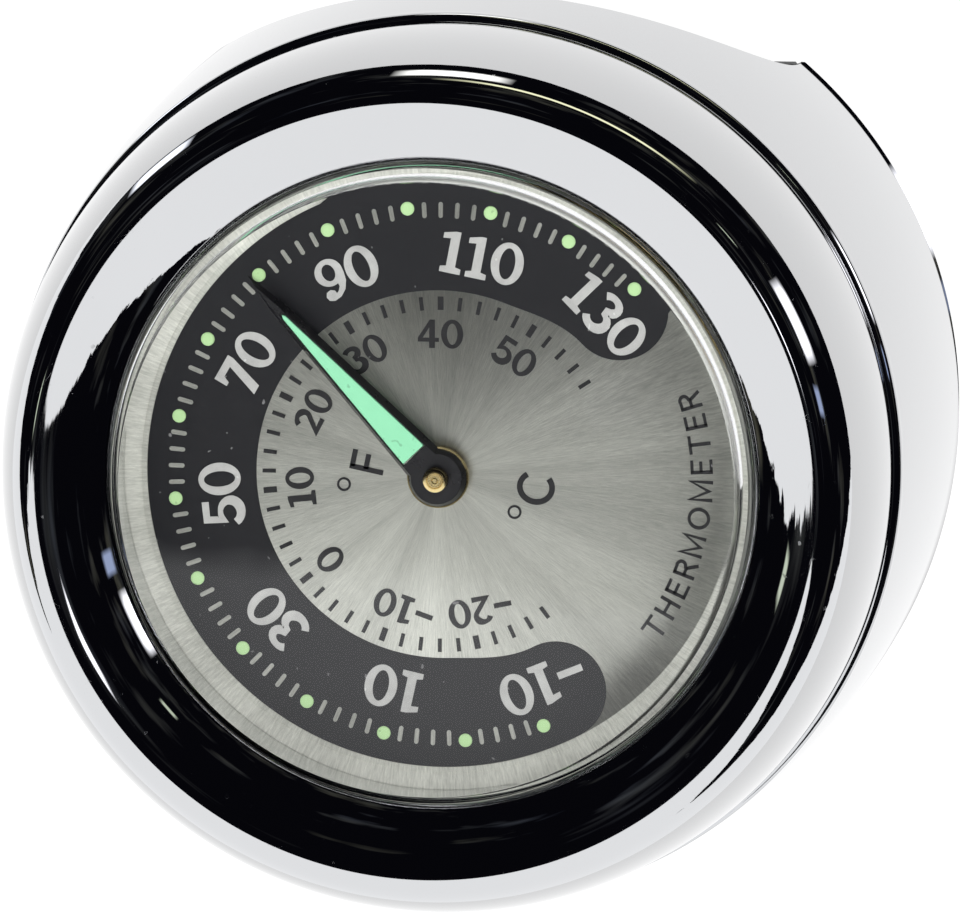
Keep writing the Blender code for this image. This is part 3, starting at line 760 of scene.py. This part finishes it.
def write_number(shape, word, glyph, centre_r, angle, height, gap, low, high):
    """A number as one stiff group, its top outwards, centred on a radius of the dial."""
    signs = word.lstrip("-")
    placed, width = lay(signs, glyph, height, gap)
    if word[0] == "-":
        outlines, dash = glyph("-")
        placed.append((outlines, -dash - gap, dash))
    x, y = polar(centre_r, angle)
    matrix = (Matrix.Translation((x, y, 0.0)) @ Matrix.Rotation(angle + DIAL_TURN - pi / 2, 4, "Z")
              @ Matrix.Diagonal((height * DOT_R, height * DOT_R, 1.0, 1.0))
              @ Matrix.Translation((-width / 2.0, -0.5, 0.0)))
    for outlines, pen, _ in placed:
        prism(outlines, low, high, shape, matrix @ Matrix.Translation((pen, 0.0, 0.0)))


def make_numerals():
    shape = bmesh.new()
    for t in range(-10, 131, 20):
        centre_r = 0.827 + 3.2 * (spread(t) - 1.0)
        write_number(shape, str(t), numeral, centre_r, angle_f(t), 0.157, 0.035, BAND_TOP, INK_TOP)
    stand_for(from_bmesh("fahrenheit_numerals", shape, SILVER_INK), "housing", "brushed_dial")
    shape = bmesh.new()
    for t in range(-20, 51, 10):
        write_number(shape, str(t), numeral, 0.527, angle_c(t), 0.106, 0.06, 0.0, BAND_TOP)
    stand_for(from_bmesh("celsius_numerals", shape, BLACK_INK), "housing", "pointer_black")


def make_letters():
    """The unit signs upright on the dial, and the instrument's generic name round its foot."""
    shape = bmesh.new()
    upright = Matrix.Rotation(DIAL_TURN, 4, "Z")
    for sign, x, y, height, dot in (("F", -0.051, 0.210, 0.128, (-0.115, 0.345)),
                                    ("C", -0.033, -0.430, 0.143, (-0.076, -0.299))):
        outlines, width = sans(sign, 0.075)
        matrix = (upright @ Matrix.Translation((x * DOT_R, y * DOT_R, 0.0))
                  @ Matrix.Diagonal((height * DOT_R, height * DOT_R, 1.0, 1.0)))
        prism(outlines, 0.0, BAND_TOP, shape, matrix)
        spot = (dot[0] * DOT_R, dot[1] * DOT_R)
        prism([(disc(0.33, spot), [disc(0.225, spot)])], 0.0, BAND_TOP, shape, upright)
    height, base_r, gap, widen = 0.083, 1.018, 0.25, 1.12
    placed, width = lay("THERMOMETER", sans, height, gap)
    for outlines, pen, wide in placed:
        along = (pen + wide / 2.0 - width / 2.0) * widen * height / (base_r - height / 2.0)
        angle = radians(-87.2) + along
        x, y = polar(base_r, angle)
        matrix = (Matrix.Translation((x, y, 0.0)) @ Matrix.Rotation(angle + DIAL_TURN + pi / 2, 4, "Z")
                  @ Matrix.Diagonal((widen * height * DOT_R, height * DOT_R, 1.0, 1.0))
                  @ Matrix.Translation((-wide / 2.0, 0.0, 0.0)))
        prism(outlines, 0.0, BAND_TOP, shape, matrix)
    stand_for(from_bmesh("dial_letters", shape, BLACK_INK), "housing", "pointer_black")


# ---------------------------------------------------------------- the pointer, along +X until it is turned
HUB_R = 1.40
BLADE_ROOT = 0.99  # half width of the blade where it leaves the hub
BLADE_KINK = (10.9, 0.36)  # radius and half width where it turns to its point
SIDE_SLOPE = 0.2  # how far its sides slope in
WINDOW = [(1.50, 0.69), (10.4, 0.11), (10.55, 0.07), (10.6, 0.0)]  # one side of the opening for the paint
STRIPE = [(1.56, 0.62), (1.60, 0.66), (10.35, 0.09), (10.5, 0.0)]  # one side of the luminous stripe
PIN_R = 0.58


def both_sides(side):
    """A closed outline from its upper side, which ends on the axis."""
    return side + [(x, -y) for x, y in side[-2::-1]]


def hand_loop(inset):
    """The hand's outline drawn in by an inset: a round hub, a straight blade and a finer point."""
    hub_r, root = HUB_R - inset, BLADE_ROOT - inset
    clear = asin(root / hub_r)
    hub = []
    for i in range(65):
        turn = clear + (2.0 * pi - 2.0 * clear) * i / 64
        hub.append((hub_r * cos(turn), hub_r * sin(turn)))
    kink, half = BLADE_KINK[0], BLADE_KINK[1] - inset
    tip = node_reach("pointer") - 3.0 * inset
    return [(kink, half), *hub, (kink, -half), (tip, -0.02), (tip, 0.02)]


def make_pointer():
    """A dished hand: flat top with a window for the luminous stripe, and sides that slope away."""
    low, high = node_span("pointer")
    turn = Matrix.Rotation(angle_f(REST_F) + DIAL_TURN, 4, "Z")
    foot, brow = hand_loop(0.0), hand_loop(SIDE_SLOPE)
    openings = [disc(0.46, (0.0, 0.0)), both_sides(WINDOW)]
    hand = prism([(brow, openings)], high - 0.2, high, matrix=turn, chamfer=0.02)
    shape = bmesh.new()
    one = [shape.verts.new((x, y, low - 0.3)) for x, y in foot]
    two = [shape.verts.new((x, y, high - 0.02)) for x, y in brow]
    for k in range(len(one)):
        m = (k + 1) % len(one)
        shape.faces.new((one[k], one[m], two[m], two[k]))
    bmesh.ops.transform(shape, matrix=turn, verts=shape.verts)
    skirt = bpy.data.meshes.new("skirt")
    shape.to_mesh(skirt)
    shape.free()
    hand.from_mesh(skirt)
    bpy.data.meshes.remove(skirt)
    stand_for(from_bmesh("hand", hand, HAND_BLACK, 20.0), "pointer_shaft", "pointer_black", "pointer")
    lume = prism([(both_sides(STRIPE), [])], high - 0.18, high + 0.02, matrix=turn, chamfer=0.03)
    stand_for(from_bmesh("hand_lume", lume, HAND_LUME, 20.0), "pointer_shaft", "lume", "pointer_lume")


def node_reach(node):
    """Furthest that a node reaches from the pointer's axis."""
    return max(hypot(v.co.x, v.co.y) for v in frame["nodes"][node].data.vertices) / MM


def make_pin():
    """The brass pin with its turned rings, the collet under the hand and the bush that it turns in."""
    low, high = node_span("arbor")
    profile = [(0.0, high), (0.10, high), (0.13, high - 0.03), (0.16, high), (0.29, high),
               (0.32, high - 0.05),
               (0.36, high - 0.05), (0.40, high), (0.48, high - 0.01), (PIN_R - 0.03, high - 0.05),
               (PIN_R, high - 0.12), (PIN_R, 1.44), (0.4, 1.42), (0.4, low + 0.2), (0.2, low), (0.0, low)]
    stand_for(turned("pin", profile, BRASS, SMALL, closed=False), "pointer_shaft", "brass", "arbor")
    low, high = node_span("pointer_collet")
    profile = soft_polygon([(0.45, high, 0.0), (1.2, high, 0.0), (1.45, high - 0.22, 0.08),
                            (1.45, low + 0.1, 0.05), (1.3, low, 0.0), (0.45, low, 0.0)])
    stand_for(turned("collet", profile, BRASS, SMALL), "pointer_shaft", "brass", "pointer_collet")
    low, high = node_span("front_bush")
    profile = soft_polygon([(0.46, high, 0.0), (1.35, high, 0.1), (1.35, 0.075, 0.0), (0.9, 0.075, 0.0),
                            (0.9, low, 0.0), (0.46, low, 0.0)])
    stand_for(turned("bush", profile, BRASS, SMALL), "housing", "brass", "front_bush")


# ---------------------------------------------------------------- housing and clamp
BAR_Z = (frame["record"]["mounts"][1]["pos_m"][2] - FACE) / MM  # axis of the handlebar
CHANNEL_R = 14.1  # saddle for the bar and its rubber
SCREW_Y = 16.8
SCREW_R, HEAD_R, HEAD_TALL = 1.5, 2.75, 3.0
THREAD_TURNS, THREAD_PITCH = 26, 0.5
CLAMP_HALF_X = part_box("clamp_base")[1].x / MM
END_DRAFT = radians(11.0)
SHOULDER_TOP, SHOULDER_EDGE = (20.85, -2.95), (21.26, -3.42)  # the housing's rounded front edge
POCKET_FLOOR = -7.0
REAR_ROUND = 2.0


def make_housing():
    """The flared shell, with its pocket, the saddle across its back and two screw holes."""
    rear = node_span("housing")[0]
    rear_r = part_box("housing")[1].y / MM
    top, edge = SHOULDER_TOP, SHOULDER_EDGE
    shoulder = []
    for i in range(17):
        turn = pi / 2.0 * i / 16
        shoulder.append((top[0] + (edge[0] - top[0]) * sin(turn), edge[1] + (top[1] - edge[1]) * cos(turn)))
    foot = (rear_r, rear + 2.2)
    wall = bow(edge, foot, 0.25, 40)
    rear_edge = fillet(foot, (rear_r, rear), (rear_r - 3.0, rear), REAR_ROUND, 16)
    pocket = SPIGOT_R + 0.15
    mouth = [(0.0, POCKET_FLOOR), (pocket, POCKET_FLOOR), (pocket, -3.15), (pocket + 0.15, -3.0)]
    profile = mouth + shoulder + wall[1:] + rear_edge + [(0.0, rear)]
    shell = turned("housing_shell", profile, BODY_CHROME, closed=False)
    cut(shell, rod(CHANNEL_R, 60.0, (0.0, 0.0, BAR_Z), "X", 192))
    for side in (-1, 1):
        cut(shell, rod(1.65, 11.0, (0.0, side * SCREW_Y, rear + 4.0)))
    keep_smooth(shell)
    stand_for(shell, "housing", "chrome", "housing")


def keep_smooth(obj):
    """Smooth shading again after a Boolean."""
    obj.data.shade_smooth()
    obj.data.set_sharp_from_angle(angle=radians(30.0))


def make_clamp_base():
    """The cap that closes under the bar, with drafted ends and two counterbored screw holes."""
    low, high = node_span("clamp_base")
    side_wall = bow((19.9, low + 3.0), (16.9, low), 0.85, 18)
    profile = [(0.0, high), (21.6, high), (21.85, high - 0.25)] + side_wall + [(0.0, low)]
    base = turned("clamp_shell", profile, CLAMP_CHROME, closed=False)
    cut(base, rod(CHANNEL_R, 60.0, (0.0, 0.0, BAR_Z), "X", 192))
    for side in (-1, 1):
        cut(base, end_cutter(side, high))
        cut(base, rod(1.7, 20.0, (0.0, side * SCREW_Y, -28.0)))
        cut(base, rod(2.95, 10.0, (0.0, side * SCREW_Y, -38.0)))
    keep_smooth(base)
    stand_for(base, "clamp_base", "clamp_chrome", "clamp_base")


def make_liners():
    """Ribbed rubber half sleeves between clamp and bar."""
    for name, sign, body in (("upper_liner", 1, "housing"), ("lower_liner", -1, "clamp_base")):
        outer, inner, start, steps = 13.95, 12.75, radians(5.5), 72
        shape = bmesh.new()
        rails = []
        for i in range(steps + 1):
            turn = start + (pi - 2 * start) * i / steps
            y, z = cos(turn), sign * sin(turn)
            half = end_x(BAR_Z + outer * z)
            rails.append([shape.verts.new((x, r * y, BAR_Z + r * z))
                          for x, r in ((-half, outer - 0.15), (-half + 0.15, outer), (half - 0.15, outer),
                                       (half, outer - 0.15), (half, inner), (-half, inner))])
        for one, two in zip(rails, rails[1:]):
            for k in range(6):
                shape.faces.new((one[k], one[(k + 1) % 6], two[(k + 1) % 6], two[k]))
        shape.faces.new(rails[0][::-1])
        shape.faces.new(rails[-1])
        stand_for(from_bmesh(name + "_rubber", shape, RUBBER), body, "black_rubber", name)


def make_screws():
    """Two socket-head screws, their heads down."""
    for number, side in ((1, -1), (2, 1)):
        node = f"clamp_screw_{number}"
        low, high = node_span(node)
        seat = low + HEAD_TALL
        thread = []
        for i in range(THREAD_TURNS * 2):
            thread.append((SCREW_R if i % 2 == 0 else SCREW_R - 0.24, high - 0.5 - i * THREAD_PITCH / 2.0))
        profile = ([(0.0, high), (SCREW_R - 0.4, high), (SCREW_R - 0.2, high - 0.3)] + thread
                   + [(SCREW_R, thread[-1][1] - 0.4), (SCREW_R, seat), (HEAD_R - 0.15, seat)]
                   + [(HEAD_R, seat - 0.15), (HEAD_R, low + 0.25), (HEAD_R - 0.25, low), (0.0, low)])
        place = (0.0, side * SCREW_Y)
        screw = turned(f"socket_screw_{number}", profile, STEEL, 48, closed=False, centre=place)
        cut(screw, rod(1.44, 3.6, (*place, low), segments=6))
        keep_smooth(screw)
        stand_for(screw, node, "screw_steel", node)


def dress_inner_nodes():
    """The pieces that keep their CAD shape take a finished material."""
    for skin, names in ((RUBBER, ("lens_gasket", "bezel_o_ring", "cushion_pad")),
                        (STEEL, ("retaining_ring", "lock_washer_1", "lock_washer_2")),
                        (TIN, ("movement_cup",)), (BIMETAL, ("bimetal_coil",)),
                        (BRASS, ("coil_stud", "rear_bush", "coil_collet"))):
        for name in names:
            for slot in frame["nodes"][name].material_slots:
                slot.material = skin


# ---------------------------------------------------------------- floor, light, camera
TABLE_R = 0.08  # metres, as are the lengths below
# direction (degrees from +X, degrees above the table), half extents in degrees, and colour
LAMPS = (
    (-68.0, 2.0, 8.0, 14.0, (3.6, 3.6, 3.8)),
    (5.0, -22.0, 10.0, 6.0, (3.2, 3.2, 3.1)),
    (-16.0, -9.0, 24.0, 2.4, (1.8, 1.8, 1.2)),
    (54.0, -28.0, 6.0, 7.0, (3.0, 3.1, 3.4)),
    (-97.0, 81.6, 20.0, 2.5, (3.2, 3.2, 3.4)),
    (-82.0, 14.0, 3.0, 9.0, (0.5, 0.6, 0.9)),
    (96.0, 52.0, 4.0, 3.0, (0.9, 1.0, 0.8)),
    (-50.0, 38.0, 3.0, 2.0, (0.8, 0.9, 0.7)),
)


def make_floor():
    """A pale lit table, evenly bright to the camera. Under the object its glow is dimmed to a painted shadow,
    which shows only in the chrome above.
    """
    made, shader, nodes = new_material("floor", Roughness=0.7, Emission_Color=(1.0, 1.0, 1.0, 1.0))
    place = object_place(nodes)
    soft = nodes.noise(place, 3.0, 1.0)
    nodes.feed(shader, "Base Color", nodes.mix(soft, (0.10, 0.10, 0.102), (0.11, 0.11, 0.112)))
    path = nodes.add("ShaderNodeLightPath")
    x, y, _ = nodes.split(place)
    reach = nodes.length(nodes.join(x, y))
    # Painted shadow: the floor's glow drops to a dim disc under the object, and the chrome reflects this disc
    # as the object's shade.
    under = nodes.span(reach, 0.0215, 0.0240, 0.08, 0.92)
    nodes.feed(shader, "Emission Strength", nodes.math("MAXIMUM", under, path.outputs["Is Camera Ray"]))
    shape = bmesh.new()
    bmesh.ops.create_circle(shape, cap_ends=True, segments=96, radius=TABLE_R)
    mesh = bpy.data.meshes.new("floor")
    shape.to_mesh(mesh)
    shape.free()
    finish_mesh("floor", mesh, made)


def make_world():
    """A dim room round the table, with one huge white screen towards -X and a few lamps."""
    world = bpy.data.worlds.new("studio")
    world.use_nodes = True
    bpy.context.scene.world = world
    tree = world.node_tree
    nodes = Nodes(tree)
    way = nodes.add("ShaderNodeTexCoord").outputs["Generated"]
    x, y, z = nodes.split(way)
    steep = nodes.math("POWER", nodes.math("MAXIMUM", z, 0.0), 4.0)
    across = nodes.math("SUBTRACT", 0.25, nodes.math("MULTIPLY", steep, 0.18))
    facing = nodes.math("ADD", nodes.math("MULTIPLY", x, -0.81), nodes.math("MULTIPLY", z, 0.53))
    facing = nodes.math("ADD", facing, nodes.math("MULTIPLY", y, across))
    rough_edge = nodes.math("MULTIPLY", nodes.math("SUBTRACT", nodes.noise(way, 11.0, 5.0, 0.7), 0.5), 0.16)
    rough_edge = nodes.math("MULTIPLY", rough_edge, nodes.math("SUBTRACT", 1.0, steep))
    low = nodes.math("MAXIMUM", nodes.math("SUBTRACT", 0.05, z), 0.0)
    limit = nodes.math("SUBTRACT", 0.62, nodes.math("MULTIPLY", low, 1.7))
    limit = nodes.math("ADD", limit, nodes.math("MULTIPLY", steep, 0.0485))
    edge = nodes.math("SUBTRACT", nodes.math("ADD", facing, rough_edge), limit)
    screen = nodes.span(edge, -0.001, 0.001)
    azimuth = nodes.math("ARCTAN2", y, x)
    rise = nodes.math("ARCSINE", z)
    tall = nodes.vector("MULTIPLY", way, (1.0, 1.0, 1.6))
    blotch = nodes.span(nodes.noise(tall, 3.0, 3.0, 0.55), 0.55, 0.85)
    tone = nodes.mix(nodes.noise(way, 3.0, 1.0), (0.05, 0.07, 0.13), (0.16, 0.15, 0.09))
    room = nodes.mix(blotch, (0.003, 0.003, 0.005), tone)
    for turn, lift, half_turn, half_lift, colour in LAMPS:
        aside = nodes.math("ABSOLUTE", nodes.math("SUBTRACT", azimuth, radians(turn)))
        above = nodes.math("ABSOLUTE", nodes.math("SUBTRACT", rise, radians(lift)))
        spot = nodes.math("MULTIPLY", nodes.span(aside, radians(half_turn), radians(half_turn * 0.55)),
                          nodes.span(above, radians(half_lift), radians(half_lift * 0.55)))
        room = nodes.mix(spot, room, colour)
    sky = nodes.mix(screen, room, (1.30, 1.31, 1.33))
    path = nodes.add("ShaderNodeLightPath")
    seen = nodes.mix(path.outputs["Is Camera Ray"], sky, (0.93, 0.93, 0.935))
    back = tree.nodes["Background"]
    tree.links.new(seen, back.inputs["Color"])
    back.inputs["Strength"].default_value = 1.0


def make_key_light():
    """A soft square light over the dial. It lights paint and print, and no metal mirrors it."""
    data = bpy.data.lights.new("key", "AREA")
    data.shape = "RECTANGLE"
    data.size = data.size_y = 0.16
    data.energy = 3.0
    key = bpy.data.objects.new("key", data)
    key.location = (0.03, -0.03, 0.50)
    aim = Vector((0.0, 0.0, 0.035))
    key.rotation_euler = (aim - key.location).to_track_quat("-Z", "Y").to_euler()
    bpy.context.scene.collection.objects.link(key)
    key.visible_camera = False
    key.visible_glossy = False


def make_camera():
    """Nearly square to the dial, leaning a little towards one side, with the bar upright in view."""
    lean, lean_way = radians(11.77), radians(-40.63)
    up_way = radians(0.77)
    distance = 0.5324
    aim = Vector((0.00077, -0.00175, FACE))
    back = Vector((sin(lean) * cos(lean_way), sin(lean) * sin(lean_way), cos(lean)))
    up = Vector((cos(up_way), sin(up_way), 0.0))
    up = (up - back * up.dot(back)).normalized()
    right = up.cross(back)
    data = bpy.data.cameras.new("camera")
    data.lens = 427.0
    data.sensor_width = 36.0
    data.clip_start = 0.01
    camera = bpy.data.objects.new("camera", data)
    turn = Matrix((right, up, back)).transposed().to_4x4()
    camera.matrix_world = Matrix.Translation(aim + back * distance) @ turn
    bpy.context.scene.collection.objects.link(camera)
    bpy.context.scene.camera = camera


make_bezel()
make_lens()
make_dial()
make_scale_marks()
make_dots()
make_numerals()
make_letters()
make_pointer()
make_pin()
make_housing()
make_clamp_base()
make_liners()
make_screws()
dress_inner_nodes()
make_floor()
make_world()
make_key_light()
make_camera()
bpy.context.scene.view_settings.view_transform = "Standard"
